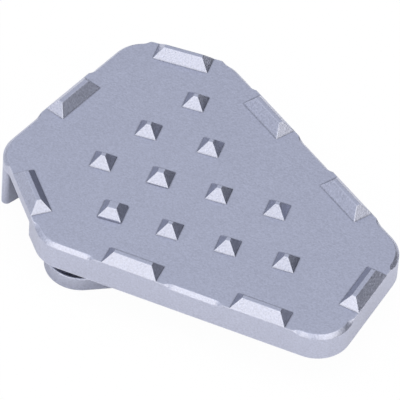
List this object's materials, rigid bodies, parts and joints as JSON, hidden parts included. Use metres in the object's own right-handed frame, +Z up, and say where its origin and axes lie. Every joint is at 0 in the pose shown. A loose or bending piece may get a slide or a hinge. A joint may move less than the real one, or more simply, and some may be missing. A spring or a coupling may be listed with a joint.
{
  "type": "brake pedal extension",
  "caption": "Studded aluminium foot plate that widens a motorcycle brake pedal, clamped on the pedal's tip by a lower plate and countersunk screws.",
  "frame": {"origin": "middle of the pedal seat in the underside, on its ceiling, where the centre lines of the arm channel and the tread recess cross", "axes": "+Z up to the rider's foot, square to the deck; -Y towards the long front edge, seen from the front of the picture; +X towards the deck's far end; right-handed"},
  "size_m": [0.0741, 0.0579, 0.0139],
  "materials": {
    "plate": "fine bead-blasted, clear anodised, satin",
    "clamp": "fine bead-blasted, clear anodised, satin",
    "screws": "plain stainless, satin"
  },
  "bodies": {
    "root": {"pedal_plate": "plate", "clamp_plate": "clamp", "clamp_screws": "screws"}
  },
  "joints": []
}
